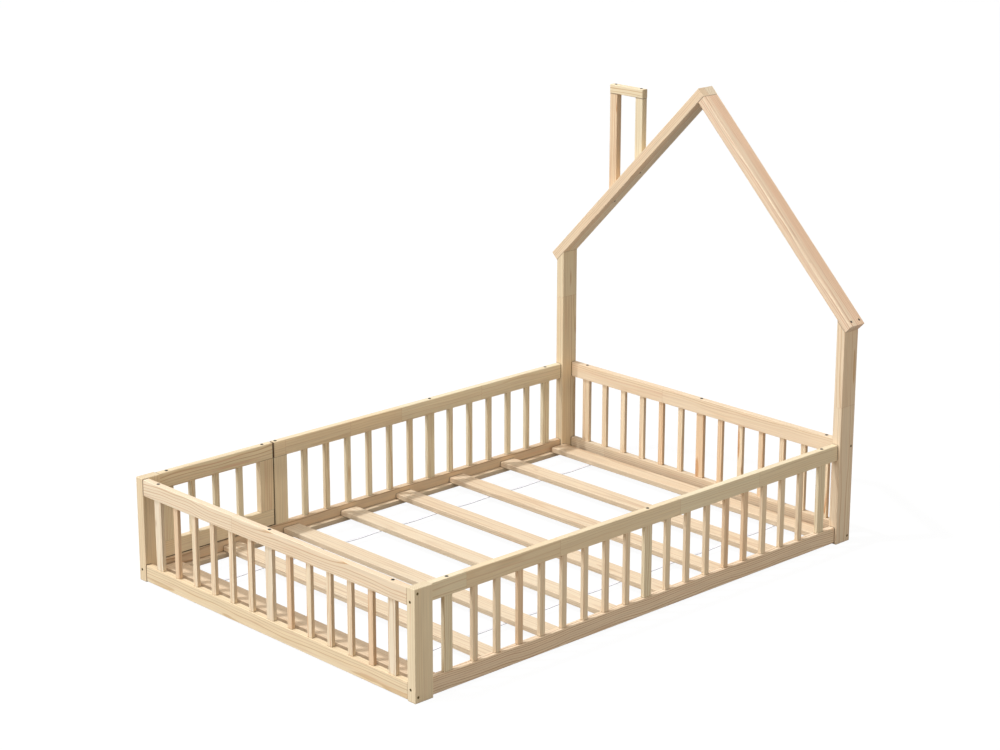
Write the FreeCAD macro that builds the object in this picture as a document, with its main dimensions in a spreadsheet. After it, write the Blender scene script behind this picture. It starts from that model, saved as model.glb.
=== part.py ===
import FreeCAD, Part
import math
import os
import re
import Sketcher

# Driving sizes of the bed, in millimetres. The roof's pitch is in degrees.
SIZES = {
    # Whole bed, measured over the corner posts
    "bed_length": 2132,
    "bed_width": 1460,
    # Corner posts
    "post_depth": 76,
    "post_thickness": 37,
    "foot_post_height": 383,
    "eave_height": 808,
    "edge_chamfer": 1.5,
    # House frame at the head
    "roof_pitch": 45,
    "rafter_thickness": 37,
    "rafter_overhang": 1.5,
    # Chimney on the far rafter
    "chimney_setback": 341,
    "chimney_rise": 340,
    "chimney_width": 170,
    "chimney_depth": 26,
    "upright_width": 37,
    "chimney_cap_height": 34,
    # Rails of the four fence panels
    "rail_height": 59,
    "rail_thickness": 25,
    "side_rail_inset": 9.5,
    "top_rail_drop": 2,
    "bottom_rail_lift": 4.5,
    # Bars of the fence panels
    "thick_bar_width": 36,
    "thick_bar_depth": 15,
    "baluster_width": 23,
    "baluster_depth": 14,
    "bar_chamfer": 0.8,
    "bar_end_inset": 77.5,
    "near_bar_end_gap": 115.7,
    "far_bar_end_gap": 90,
    "housing_depth": 10,
    "slot_clearance": 0.2,
    # Gate in the far side, and the stile that it closes on
    "gate_width": 504,
    "gate_hinge_gap": 3,
    "gate_latch_gap": 5,
    "gate_lift": 4,
    "gate_bar_end_gap": 86.3,
    "stile_width": 60,
    "tenon_length": 12,
    "tenon_shoulder": 6,
    "gate_screw_inset": 40,
    "stile_screw_inset": 16,
    # Slats, their ledgers and the webbing under them
    "slat_width": 74,
    "slat_thickness": 20,
    "slat_foot_gap": 48,
    "slat_head_gap": 37,
    "slat_end_clearance": 1.5,
    "ledger_width": 20,
    "ledger_height": 18.5,
    "strap_width": 14,
    "strap_thickness": 1.6,
    "strap_inset": 214,
    # Bolts through the posts, and their barrel nuts in the rails
    "bolt_diameter": 6,
    "bolt_head_diameter": 10,
    "bolt_head_height": 6,
    "bolt_recess": 12,
    "bolt_tip": 2,
    "nut_diameter": 10,
    "nut_length": 20,
    "nut_setback": 36,
    "side_top_bolt_rise": 14,
    "side_bottom_bolt_drop": 21.5,
    "end_top_bolt_drop": 14.5,
    "end_bottom_bolt_rise": 15.5,
    # Wood screws
    "screw_diameter": 5,
    "screw_head_diameter": 10,
    "screw_head_height": 4,
    "screw_recess": 4.5,
    "bar_screw_bite": 30,
    "rafter_screw_bite": 24,
    "rafter_screw_inset": 16,
    "rafter_screw_rise": 19,
    "ridge_screw_bite": 45,
    "chimney_screw_recess": 14,
    "chimney_screw_bite": 35,
    # Hinges and catch of the gate
    "knuckle_diameter": 8,
    "hinge_pin_diameter": 4,
    "hinge_height": 50,
    "hinge_leaf_width": 28,
    "hinge_leaf_thickness": 1.5,
    "hinge_crank_width": 2.5,
    "hinge_screw_offset": 18,
    "hinge_screw_inset": 10,
    "hinge_screw_diameter": 3.5,
    "hinge_screw_head_diameter": 6.5,
    "hinge_screw_head_height": 1.5,
    "hinge_screw_length": 16,
    "hinge_running_clearance": 0.05,
    "knuckle_clearance": 0.4,
    "magnet_diameter": 12,
    "magnet_length": 8,
    "magnet_stand_out": 1.5,
    "catch_drop": 32,
    "striker_width": 14,
    "striker_height": 30,
    "striker_thickness": 1.5,
    # Fits, and how far every cutting shape runs past the wood
    "hole_clearance": 0.1,
    "hole_end_clearance": 2,
    "overrun": 15,
}

# Places and lengths that follow from the driving sizes.
DERIVED = {
    # Outer ends and sides of the bed, and the inner faces of its posts
    "foot_end": "-bed_length / 2",
    "head_end": "bed_length / 2",
    "near_side": "-bed_width / 2",
    "far_side": "bed_width / 2",
    "foot_post_face": "foot_end + post_depth",
    "head_post_face": "head_end - post_depth",
    "near_post_face": "near_side + post_thickness",
    "far_post_face": "far_side - post_thickness",
    # Rails
    "side_rail_length": "head_post_face - foot_post_face",
    "end_rail_length": "far_post_face - near_post_face",
    "top_rail_high": "foot_post_height - top_rail_drop",
    "top_rail_low": "top_rail_high - rail_height",
    "bottom_rail_high": "bottom_rail_lift + rail_height",
    "near_rail_y": "near_side + side_rail_inset",
    "far_rail_y": "far_post_face + side_rail_inset",
    "near_rail_middle": "near_rail_y + rail_thickness / 2",
    "far_rail_middle": "far_rail_y + rail_thickness / 2",
    "foot_rail_middle": "foot_end + rail_thickness / 2",
    "head_rail_middle": "head_end - rail_thickness / 2",
    # Gate and end stile
    "gate_x": "foot_post_face + gate_hinge_gap",
    "gate_end": "gate_x + gate_width",
    "stile_x": "gate_end + gate_latch_gap",
    "stile_end": "stile_x + stile_width",
    "gate_low": "bottom_rail_high + gate_lift",
    "gate_rail_high": "gate_low + rail_height",
    "gate_middle": "gate_x + gate_width / 2",
    "gate_bar_pitch": "gate_width / 2 - stile_width - gate_bar_end_gap",
    "far_top_rail_length": "head_post_face - stile_x",
    # Bars
    "bar_length": "top_rail_low - bottom_rail_high",
    "gate_bar_length": "top_rail_low - gate_rail_high",
    "side_bar_end": "head_post_face - bar_end_inset",
    "end_bar_end": "far_post_face - bar_end_inset",
    # Slats
    "slat_low": "bottom_rail_lift + ledger_height",
    "slat_start": "foot_end + rail_thickness + slat_foot_gap",
    "slat_stop": "head_end - rail_thickness - slat_head_gap",
    "slat_near_end": "near_rail_y + rail_thickness + slat_end_clearance",
    "slat_far_end": "far_rail_y - slat_end_clearance",
    "short_slat_near_end": "near_post_face + slat_end_clearance",
    "short_slat_far_end": "far_post_face - slat_end_clearance",
    # Roof: the underside of each rafter starts at the outer top edge of its post
    "rafter_plumb": "rafter_thickness / cos(roof_pitch)",
    "ridge_low": "eave_height + bed_width / 2 * tan(roof_pitch)",
    "ridge_high": "ridge_low + rafter_plumb",
    "butt_offset": "rafter_thickness / (2 * sin(roof_pitch))",
    "butt_high": "ridge_low + butt_offset * tan(roof_pitch)",
    "tip_low_y": "far_side + rafter_overhang * cos(roof_pitch)",
    "tip_low_z": "eave_height - rafter_overhang * sin(roof_pitch)",
    "tip_high_y": "tip_low_y + rafter_thickness * sin(roof_pitch)",
    "tip_high_z": "tip_low_z + rafter_thickness * cos(roof_pitch)",
    "post_slope": "post_thickness * tan(roof_pitch)",
    # Chimney, on the upper face of the far rafter
    "chimney_middle": "far_side - chimney_setback",
    "chimney_high": "ridge_high - chimney_middle * tan(roof_pitch) + chimney_rise",
    "cap_low": "chimney_high - chimney_cap_height",
    "inner_upright_y": "chimney_middle - chimney_width / 2",
    "outer_upright_y": "chimney_middle + chimney_width / 2 - upright_width",
    "chimney_x": "head_end - post_depth / 2 - chimney_depth / 2",
    # Hinge axis, in the gap beside the far foot post and outside its face
    "hinge_x": "foot_post_face + gate_hinge_gap / 2",
    "hinge_y": "far_side + knuckle_diameter / 2",
    "gate_face": "far_rail_y + rail_thickness",
    "knuckle_height": "hinge_height / 3",
    "upper_hinge_low": "top_rail_low + rail_height / 2 - hinge_height / 2",
    "lower_hinge_low": "gate_low + rail_height / 2 - hinge_height / 2",
    "catch_height": "top_rail_low - catch_drop",
}

# Flat sides that small round pieces are drawn with because there are so many: heads and knuckles, which show,
# get more than the shanks hidden in the wood
HEAD_SIDES = 8
SHANK_SIDES = 6
# Repeats
NEAR_BALUSTERS_EACH_SIDE = 8
END_BALUSTERS_EACH_SIDE = 5
FAR_BARS_PER_THICK_BAR = 6
FAR_BAR_STEPS = 12
SLAT_COUNT = 8

Vector = FreeCAD.Vector
ALONG_X = Vector(1, 0, 0)
ALONG_Y = Vector(0, 1, 0)
ALONG_Z = Vector(0, 0, 1)
NO_TURN = FreeCAD.Rotation()
QUARTER_TURN = FreeCAD.Rotation(ALONG_Z, 90)
HALF_TURN = 180
PLANE_ACROSS = {"X": "YZ_Plane", "Y": "XZ_Plane", "Z": "XY_Plane"}
DIRECTION = {"X": ALONG_X, "Y": ALONG_Y, "Z": ALONG_Z}
EVERY_WAY = (ALONG_X, ALONG_Y, ALONG_Z)
# Two directions count as parallel when the length of their cross product is below this
PARALLEL = 0.001

doc = FreeCAD.newDocument("kids_bed")
nodes = []


def own_sheet_names(text):
    """Points the words that are driving sizes at the sheet of sizes."""
    return re.sub(r"[a-z_]+", lambda word: "Sizes." + word[0] if word[0] in SIZES else word[0], text)


def formula(text):
    """Points the words that are sizes or derived values at their sheets."""
    return re.sub(
        r"(?<!\.)\b[a-z_]+\b",
        lambda word: "Derived." + word[0] if word[0] in DERIVED else word[0],
        own_sheet_names(text),
    )


def fill_sheet(name, cells):
    sheet = doc.addObject("Spreadsheet::Sheet", name)
    for row, (alias, content) in enumerate(cells.items(), start=1):
        sheet.set(f"A{row}", alias)
        sheet.set(f"B{row}", content)
        sheet.setAlias(f"B{row}", alias)
    doc.recompute()
    return sheet


sizes_sheet = fill_sheet("Sizes", {alias: str(number) for alias, number in SIZES.items()})
derived_sheet = fill_sheet("Derived", {alias: "=" + own_sheet_names(text) for alias, text in DERIVED.items()})


def size(alias):
    """The present value of a size or a derived place."""
    sheet = sizes_sheet if alias in SIZES else derived_sheet
    return float(sheet.get(alias))


def bind(item, **formulas):
    for name, text in formulas.items():
        item.setExpression(name, formula(text))


def move_to(item, place):
    for letter, text in zip("xyz", place):
        item.setExpression(f"Placement.Base.{letter}", formula(text))


def origin_plane(body, role):
    return next(plane for plane in body.Origin.OriginFeatures if plane.Role == role)


def draw_outline(body, plane, points):
    """A closed outline of straight lines, every corner held by its two distances from the origin."""
    sketch = body.newObject("Sketcher::SketchObject", body.Name + "_outline")
    sketch.AttachmentSupport = [(origin_plane(body, plane), "")]
    sketch.MapMode = "FlatFace"
    count = len(points)
    ring = [Vector(math.cos(math.tau * i / count), math.sin(math.tau * i / count), 0) for i in range(count)]
    sketch.addGeometry([Part.LineSegment(ring[i - 1], ring[i]) for i in range(count)], False)
    for i in range(count):
        sketch.addConstraint(Sketcher.Constraint("Coincident", i - 1 if i else count - 1, 2, i, 1))
    for i, (across, up) in enumerate(points):
        for kind, text, start in (("DistanceX", across, ring[i - 1].x), ("DistanceY", up, ring[i - 1].y)):
            index = sketch.addConstraint(Sketcher.Constraint(kind, -1, 1, i, 1, start))
            sketch.renameConstraint(index, f"{kind}_{i}")
            sketch.setExpression(f"Constraints.{kind}_{i}", formula(text))
    return sketch


def prism(name, along, outline, length, eased, chamfer, place):
    """A board padded from an outline, with its edges in the eased directions chamfered."""
    body = doc.addObject("PartDesign::Body", name)
    pad = body.newObject("PartDesign::Pad", name + "_pad")
    pad.Profile = draw_outline(body, PLANE_ACROSS[along], outline)
    pad.Reversed = along == "Y"
    bind(pad, Length=length)
    doc.recompute()
    edges = [
        f"Edge{number}"
        for number, edge in enumerate(pad.Shape.Edges, start=1)
        if any(edge.tangentAt(edge.FirstParameter).cross(way).Length < PARALLEL for way in eased)
    ]
    easing = body.newObject("PartDesign::Chamfer", name + "_easing")
    easing.Base = (pad, edges)
    bind(easing, Size=chamfer)
    move_to(body, place)
    body.Tip = easing
    return body


def board(name, along, across, up, length, place, chamfer="edge_chamfer", eased=None):
    """A straight board with a rectangular section, placed by its lowest corner: its long edges are eased if
    no other directions are given."""
    outline = (("0", "0"), (across, "0"), (across, up), ("0", up))
    return prism(name, along, outline, length, eased or (DIRECTION[along],), chamfer, place)


def box(name, length, width, height, place):
    item = doc.addObject("Part::Box", name)
    bind(item, Length=length, Width=width, Height=height)
    move_to(item, place)
    return item


def cylinder(name, diameter, height, low):
    """A round bar along +Z whose lower end is at the given height."""
    item = doc.addObject("Part::Cylinder", name)
    bind(item, Radius=f"({diameter}) / 2", Height=height)
    move_to(item, ("0", "0", low))
    return item


def many_sided(name, sides, diameter, height, low):
    """A small round bar along +Z, drawn with flat sides, whose lower end is at the given height."""
    item = doc.addObject("Part::Prism", name)
    item.Polygon = sides
    bind(item, Circumradius=f"({diameter}) / 2", Height=height)
    move_to(item, ("0", "0", low))
    return item


def over_corners(diameter, clearance, sides):
    """The width over corners of a flat-sided hole that a bar passes however it is turned."""
    return f"({diameter} + 2 * {clearance}) / cos({HALF_TURN} / {sides})"


def fuse(name, *pieces):
    item = doc.addObject("Part::MultiFuse", name)
    item.Shapes = list(pieces)
    item.Refine = True
    return item


def cut(name, base, *tools):
    item = doc.addObject("Part::Cut", name)
    item.Base = base
    item.Tool = tools[0] if len(tools) == 1 else fuse(name + "_tools", *tools)
    return item


def gather(name, *sets):
    """Separate copies of one or more pieces, each set at its list of placements."""
    doc.recompute()
    copies = []
    for master, placements in sets:
        for placement in placements:
            copy = master.Shape.copy()
            copy.Placement = placement.multiply(master.Shape.Placement)
            copies.append(copy)
    item = doc.addObject("Part::Feature", name)
    item.Shape = Part.Compound(copies)
    return item


def node(item, label):
    item.Label = label
    nodes.append(item)


def pointing(point, direction):
    """The placement of a fastener that enters at a point and drives in a direction."""
    return FreeCAD.Placement(point, FreeCAD.Rotation(ALONG_Z, direction))


def standing(points, turn):
    return [FreeCAD.Placement(point, turn) for point in points]


def fastener(name, head_diameter, head_height, diameter, recess, reach):
    """A headed fastener along +Z from the surface it enters, and the stepped hole that takes it."""
    wide_diameter = f"{head_diameter} + 2 * hole_clearance"
    narrow_diameter = f"{diameter} + 2 * hole_clearance"
    narrow_length = f"{reach} + hole_end_clearance + overrun"
    head = many_sided(name + "_head", HEAD_SIDES, head_diameter, head_height, f"{recess} - {head_height}")
    shank = many_sided(name + "_shank", SHANK_SIDES, diameter, f"{reach} - {recess}", recess)
    wide = many_sided(name + "_counterbore", HEAD_SIDES, wide_diameter, f"{recess} + overrun", "-overrun")
    narrow = many_sided(name + "_bore", SHANK_SIDES, narrow_diameter, narrow_length, "-overrun")
    return fuse(name, head, shank), fuse(name + "_hole", wide, narrow)


def wood_screw(name, recess, reach):
    return fastener(name, "screw_head_diameter", "screw_head_height", "screw_diameter", recess, reach)


def post_bolt(name, reach):
    return fastener(name, "bolt_head_diameter", "bolt_head_height", "bolt_diameter", "bolt_recess", reach)


# Fasteners and the holes that take them
side_bolt, side_bolt_hole = post_bolt("side_bolt", "(post_depth + nut_setback + bolt_tip)")
end_bolt, end_bolt_hole = post_bolt("end_bolt", "(post_thickness + nut_setback + bolt_tip)")
bar_screw, bar_screw_hole = wood_screw("bar_screw", "screw_recess", "(rail_height + bar_screw_bite)")
rafter_screw, rafter_screw_hole = wood_screw(
    "rafter_screw", "screw_recess", "(rafter_thickness + rafter_screw_bite)"
)
ridge_screw, ridge_screw_hole = wood_screw("ridge_screw", "screw_recess", "(rafter_thickness + ridge_screw_bite)")
chimney_screw, chimney_screw_hole = wood_screw(
    "chimney_screw", "chimney_screw_recess", "(rafter_plumb + chimney_screw_bite)"
)
cap_screw, cap_screw_hole = wood_screw("cap_screw", "screw_recess", "(chimney_cap_height + chimney_screw_bite)")
hinge_screw, hinge_screw_hole = fastener(
    "hinge_screw",
    "hinge_screw_head_diameter",
    "hinge_screw_head_height",
    "hinge_screw_diameter",
    "0",
    "hinge_screw_length",
)

# A barrel nut lies across its rail, in the middle of the rail's thickness, with a cross hole for the bolt
nut_blank = many_sided("nut_blank", HEAD_SIDES, "nut_diameter", "nut_length", "-nut_length / 2")
nut_thread = many_sided(
    "nut_thread",
    SHANK_SIDES,
    over_corners("bolt_diameter", "hole_clearance", SHANK_SIDES),
    "nut_diameter + 2 * overrun",
    "0",
)
move_to(nut_thread, ("-nut_diameter / 2 - overrun", "0", "0"))
nut_thread.Placement.Rotation = FreeCAD.Rotation(ALONG_Y, 90)
barrel_nut = cut("barrel_nut", nut_blank, nut_thread)
nut_hole = many_sided(
    "nut_hole",
    HEAD_SIDES,
    "nut_diameter + 2 * hole_clearance",
    "nut_length / 2 + rail_thickness / 2 + overrun",
    "-nut_length / 2",
)


def side_bolt_places(rail_middle, heights, ends):
    """Bolts driven along the bed through the posts into the ends of a side rail."""
    places = []
    for end in ends:
        outer = Vector(size("foot_end") if end == "foot" else size("head_end"), size(rail_middle), 0)
        inward = ALONG_X if end == "foot" else -ALONG_X
        places += [pointing(outer + ALONG_Z * height, inward) for height in heights]
    return places


def side_nut_places(rail_middle, heights, ends):
    """Barrel nuts of the side rails, put in from their far faces."""
    places = []
    for end in ends:
        along = size("foot_post_face") + size("nut_setback")
        if end == "head":
            along = size("head_post_face") - size("nut_setback")
        places += [pointing(Vector(along, size(rail_middle), height), ALONG_Y) for height in heights]
    return places


def end_bolt_places(rail_middle, heights, sides):
    """Bolts driven across the bed through the posts into the ends of a foot or head rail."""
    places = []
    for side in sides:
        outer = Vector(size(rail_middle), size("near_side") if side == "near" else size("far_side"), 0)
        inward = ALONG_Y if side == "near" else -ALONG_Y
        places += [pointing(outer + ALONG_Z * height, inward) for height in heights]
    return places


def end_nut_places(rail_middle, heights):
    """Barrel nuts of the foot and head rails, put in from the faces towards the head."""
    turn = FreeCAD.Rotation(ALONG_Z, ALONG_X).multiply(QUARTER_TURN)
    reach = size("far_post_face") - size("nut_setback")
    points = [Vector(size(rail_middle), across, height) for across in (-reach, reach) for height in heights]
    return standing(points, turn)


SIDE_TOP_BOLT = size("top_rail_low") + size("side_top_bolt_rise")
SIDE_BOTTOM_BOLT = size("bottom_rail_high") - size("side_bottom_bolt_drop")
END_TOP_BOLT = size("top_rail_high") - size("end_top_bolt_drop")
END_BOTTOM_BOLT = size("bottom_rail_lift") + size("end_bottom_bolt_rise")
BOTH_ENDS = ("foot", "head")
BOTH_SIDES = ("near", "far")


def bar(name, width, depth, length):
    """An upright bar whose ends are housed in the rails, standing on the upper face of the lower one."""
    return board(
        name,
        "Z",
        width,
        depth,
        f"{length} + 2 * housing_depth",
        (f"-{width} / 2", f"-{depth} / 2", "-housing_depth"),
        "bar_chamfer",
    )


def stile(name, length):
    """An upright as thick as the rails, with a tenon at each end, standing on its lower shoulder."""
    place = ("-stile_width / 2", "-rail_thickness / 2", "0")
    shaft = board(name + "_shaft", "Z", "stile_width", "rail_thickness", length, place, "bar_chamfer")
    tenon = box(
        name + "_tenon",
        "stile_width - 2 * tenon_shoulder",
        "rail_thickness - 2 * tenon_shoulder",
        f"{length} + 2 * tenon_length",
        ("tenon_shoulder - stile_width / 2", "tenon_shoulder - rail_thickness / 2", "-tenon_length"),
    )
    return fuse(name, shaft, tenon)


def slot(name, width, depth, reach):
    """The cutter of the blind slot that takes the end of an upright, standing on the slot's mouth."""
    return box(
        name,
        f"{width} + 2 * slot_clearance",
        f"{depth} + 2 * slot_clearance",
        f"{reach} + slot_clearance + overrun",
        (f"-{width} / 2 - slot_clearance", f"-{depth} / 2 - slot_clearance", "-overrun"),
    )


# Bars and stiles, and the slots for their ends
baluster = bar("baluster", "baluster_width", "baluster_depth", "bar_length")
gate_baluster = bar("gate_baluster", "baluster_width", "baluster_depth", "gate_bar_length")
thick_blank = bar("thick_blank", "thick_bar_width", "thick_bar_depth", "bar_length")
end_stile = stile("end_stile", "bar_length")
gate_stile = stile("gate_stile", "gate_bar_length")
baluster_slot = slot("baluster_slot", "baluster_width", "baluster_depth", "housing_depth")
thick_slot = slot("thick_slot", "thick_bar_width", "thick_bar_depth", "housing_depth")
stile_slot = slot(
    "stile_slot", "(stile_width - 2 * tenon_shoulder)", "(rail_thickness - 2 * tenon_shoulder)", "tenon_length"
)

# A thick bar takes the screw that comes down through the rail above it
thick_pilot = many_sided(
    "thick_pilot",
    SHANK_SIDES,
    over_corners("screw_diameter", "hole_clearance", SHANK_SIDES),
    "bar_screw_bite + hole_end_clearance + housing_depth + overrun",
    "bar_length - bar_screw_bite - hole_end_clearance",
)
thick_bar = cut("thick_bar", thick_blank, thick_pilot)


def side_points(middle, alongs):
    return [Vector(along, size(middle), 0) for along in alongs]


def end_points(middle, acrosses):
    return [Vector(size(middle), across, 0) for across in acrosses]


def lifted(points, height):
    return [point + ALONG_Z * height for point in points]


near_pitch = (size("side_bar_end") - size("near_bar_end_gap")) / NEAR_BALUSTERS_EACH_SIDE
near_steps = [step for step in range(-NEAR_BALUSTERS_EACH_SIDE, NEAR_BALUSTERS_EACH_SIDE + 1) if step]
end_pitch = size("end_bar_end") / (END_BALUSTERS_EACH_SIDE + 1)
end_steps = [step for step in range(-END_BALUSTERS_EACH_SIDE, END_BALUSTERS_EACH_SIDE + 1) if step]
far_pitch = (size("side_bar_end") - size("stile_end") - size("far_bar_end_gap")) / FAR_BAR_STEPS
far_alongs = [size("side_bar_end") - step * far_pitch for step in range(FAR_BAR_STEPS + 1)]

thick_points = {
    "near": side_points("near_rail_middle", (-size("side_bar_end"), 0, size("side_bar_end"))),
    "foot": end_points("foot_rail_middle", (-size("end_bar_end"), 0, size("end_bar_end"))),
    "head": end_points("head_rail_middle", (-size("end_bar_end"), 0, size("end_bar_end"))),
    "far": side_points("far_rail_middle", far_alongs[:FAR_BAR_STEPS:FAR_BARS_PER_THICK_BAR]),
}
baluster_points = {
    "near": side_points("near_rail_middle", [step * near_pitch for step in near_steps]),
    "foot": end_points("foot_rail_middle", [step * end_pitch for step in end_steps]),
    "head": end_points("head_rail_middle", [step * end_pitch for step in end_steps]),
    "far": side_points(
        "far_rail_middle",
        [along for step, along in enumerate(far_alongs) if step % FAR_BARS_PER_THICK_BAR or step == FAR_BAR_STEPS],
    ),
}
bar_turn = {"near": NO_TURN, "foot": QUARTER_TURN, "head": QUARTER_TURN, "far": NO_TURN}
end_stile_point = side_points("far_rail_middle", [size("stile_x") + size("stile_width") / 2])
hinge_stile_point = side_points("far_rail_middle", [size("gate_x") + size("stile_width") / 2])
latch_stile_point = side_points("far_rail_middle", [size("gate_end") - size("stile_width") / 2])
gate_baluster_points = side_points(
    "far_rail_middle", [size("gate_middle") + step * size("gate_bar_pitch") for step in (-1, 0, 1)]
)


def slot_set(name, height, upward, turn, *sets):
    """Slots in the underside of a top rail, or in the upper face of a bottom rail."""
    facing = turn if upward else turn.multiply(FreeCAD.Rotation(ALONG_X, HALF_TURN))
    return gather(name, *[(cutter, standing(lifted(points, height), facing)) for cutter, points in sets])


def downward(points, height):
    return [pointing(point, -ALONG_Z) for point in lifted(points, height)]


# Fence panels: rails with slots, bolt and nut holes, and the bars between them
RAIL_PLACES = {
    "near": ("X", "side_rail_length", "foot_post_face", "near_rail_y"),
    "foot": ("Y", "end_rail_length", "foot_end", "near_post_face"),
    "head": ("Y", "end_rail_length", "head_end - rail_thickness", "near_post_face"),
    "far": ("X", "side_rail_length", "foot_post_face", "far_rail_y"),
}
bar_screw_points = {panel: list(points) for panel, points in thick_points.items()}
bar_screw_points["far"] += side_points("far_rail_middle", [size("stile_x") + size("stile_screw_inset")])


def panel_holes(name, panel, is_top):
    """The bolt and nut holes in the two ends of one rail."""
    if panel in BOTH_SIDES:
        heights = [SIDE_TOP_BOLT if is_top else SIDE_BOTTOM_BOLT]
        ends = ("head",) if panel == "far" and is_top else BOTH_ENDS
        bolts = side_bolt_places(panel + "_rail_middle", heights, ends)
        nuts = side_nut_places(panel + "_rail_middle", heights, ends)
        return gather(name, (side_bolt_hole, bolts)), gather(name + "_nuts", (nut_hole, nuts))
    heights = [END_TOP_BOLT if is_top else END_BOTTOM_BOLT]
    bolts = end_bolt_places(panel + "_rail_middle", heights, BOTH_SIDES)
    nuts = end_nut_places(panel + "_rail_middle", heights)
    return gather(name, (end_bolt_hole, bolts)), gather(name + "_nuts", (nut_hole, nuts))


def panel_slots(name, panel, is_top):
    """The slots for the ends of one panel's uprights in one of its rails."""
    sets = [(baluster_slot, baluster_points[panel]), (thick_slot, thick_points[panel])]
    if panel == "far":
        sets.append((stile_slot, end_stile_point))
    height = size("top_rail_low") if is_top else size("bottom_rail_high")
    return slot_set(name, height, is_top, bar_turn[panel], *sets)


def fence_rail(panel, level):
    name = f"{panel}_{level}_rail"
    is_top = level == "top"
    along, length, x, y = RAIL_PLACES[panel]
    if panel == "far" and is_top:
        length = "far_top_rail_length"
        x = "stile_x"
    z = "top_rail_low" if is_top else "bottom_rail_lift"
    blank = board(name + "_blank", along, "rail_thickness", "rail_height", length, (x, y, z), eased=EVERY_WAY)
    tools = [panel_slots(name + "_slots", panel, is_top), *panel_holes(name + "_holes", panel, is_top)]
    if is_top:
        screws = downward(bar_screw_points[panel], size("top_rail_high"))
        tools.append(gather(name + "_screw_holes", (bar_screw_hole, screws)))
    node(cut(name, blank, *tools), name)


for panel in RAIL_PLACES:
    for level in ("top", "bottom"):
        fence_rail(panel, level)
    floor = size("bottom_rail_high")
    turn = bar_turn[panel]
    thick_group = gather(f"{panel}_thick_group", (thick_bar, standing(lifted(thick_points[panel], floor), turn)))
    node(thick_group, f"{panel}_thick_bars")
    thin_group = gather(f"{panel}_thin_group", (baluster, standing(lifted(baluster_points[panel], floor), turn)))
    node(thin_group, f"{panel}_balusters")

all_bar_screws = [screw for points in bar_screw_points.values() for screw in downward(points, size("top_rail_high"))]
node(gather("bar_screw_group", (bar_screw, all_bar_screws)), "bar_screws")


# Bolts and barrel nuts of the whole bed
near_heights = (SIDE_TOP_BOLT, SIDE_BOTTOM_BOLT)
end_heights = (END_TOP_BOLT, END_BOTTOM_BOLT)
near_bolts = side_bolt_places("near_rail_middle", near_heights, BOTH_ENDS)
far_head_bolts = side_bolt_places("far_rail_middle", near_heights, ("head",))
far_foot_bolts = side_bolt_places("far_rail_middle", (SIDE_BOTTOM_BOLT,), ("foot",))
foot_bolts = end_bolt_places("foot_rail_middle", end_heights, BOTH_SIDES)
head_bolts = end_bolt_places("head_rail_middle", end_heights, BOTH_SIDES)
node(gather("side_bolt_group", (side_bolt, near_bolts + far_head_bolts + far_foot_bolts)), "side_bolts")
node(gather("end_bolt_group", (end_bolt, foot_bolts + head_bolts)), "end_bolts")

near_nuts = side_nut_places("near_rail_middle", near_heights, BOTH_ENDS)
far_head_nuts = side_nut_places("far_rail_middle", near_heights, ("head",))
far_foot_nuts = side_nut_places("far_rail_middle", (SIDE_BOTTOM_BOLT,), ("foot",))
foot_nuts = end_nut_places("foot_rail_middle", end_heights)
head_nuts = end_nut_places("head_rail_middle", end_heights)
node(gather("side_nut_group", (barrel_nut, near_nuts + far_head_nuts + far_foot_nuts)), "side_barrel_nuts")
node(gather("end_nut_group", (barrel_nut, foot_nuts + head_nuts)), "end_barrel_nuts")


# Roof screws: two at the foot of each rafter, two through the ridge
pitch = math.radians(size("roof_pitch"))
far_uphill = Vector(0, -math.cos(pitch), math.sin(pitch))
far_inward = Vector(0, -math.sin(pitch), -math.cos(pitch))
near_uphill = Vector(0, math.cos(pitch), math.sin(pitch))
near_inward = Vector(0, math.sin(pitch), -math.cos(pitch))
screw_alongs = (
    size("head_post_face") + size("rafter_screw_inset"),
    size("head_end") - size("rafter_screw_inset"),
)


def rafter_foot_screws(side, uphill, inward):
    tip = Vector(0, side * size("tip_high_y"), size("tip_high_z"))
    start = tip + uphill * size("rafter_screw_rise")
    return [pointing(start + ALONG_X * along, inward) for along in screw_alongs]


def ridge_screw_places():
    """Screws from the upper face of the far rafter along the middle line of the near one."""
    half = size("rafter_thickness") / 2
    rise = size("rafter_plumb") + size("bed_width") * math.tan(pitch)
    lean = half * (math.sin(pitch) ** 2 - math.cos(pitch) ** 2) / math.cos(pitch)
    climb = (rise + lean) / (2 * math.sin(pitch))
    foot = Vector(0, size("near_side"), size("eave_height")) - near_inward * half
    top = foot + near_uphill * climb
    return [pointing(top + ALONG_X * along, -near_uphill) for along in screw_alongs]


far_foot_screws = rafter_foot_screws(1, far_uphill, far_inward)
near_foot_screws = rafter_foot_screws(-1, near_uphill, near_inward)
ridge_screws = ridge_screw_places()
roof_screw_group = gather(
    "roof_screw_group", (rafter_screw, far_foot_screws + near_foot_screws), (ridge_screw, ridge_screws)
)
node(roof_screw_group, "rafter_screws")


# Hinge screws: two in each leaf of the two hinges, driven in from outside
def hinge_screw_places(offset, face):
    places = []
    for low in (size("upper_hinge_low"), size("lower_hinge_low")):
        for height in (low + size("hinge_screw_inset"), low + size("hinge_height") - size("hinge_screw_inset")):
            point = Vector(size("hinge_x") + offset, face + size("hinge_leaf_thickness"), height)
            places.append(pointing(point, -ALONG_Y))
    return places


post_hinge_screws = hinge_screw_places(-size("hinge_screw_offset"), size("far_side"))
gate_hinge_screws = hinge_screw_places(size("hinge_screw_offset"), size("gate_face"))
node(gather("post_hinge_screw_group", (hinge_screw, post_hinge_screws)), "hinge_post_screws")
node(gather("gate_hinge_screw_group", (hinge_screw, gate_hinge_screws)), "hinge_gate_screws")


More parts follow.
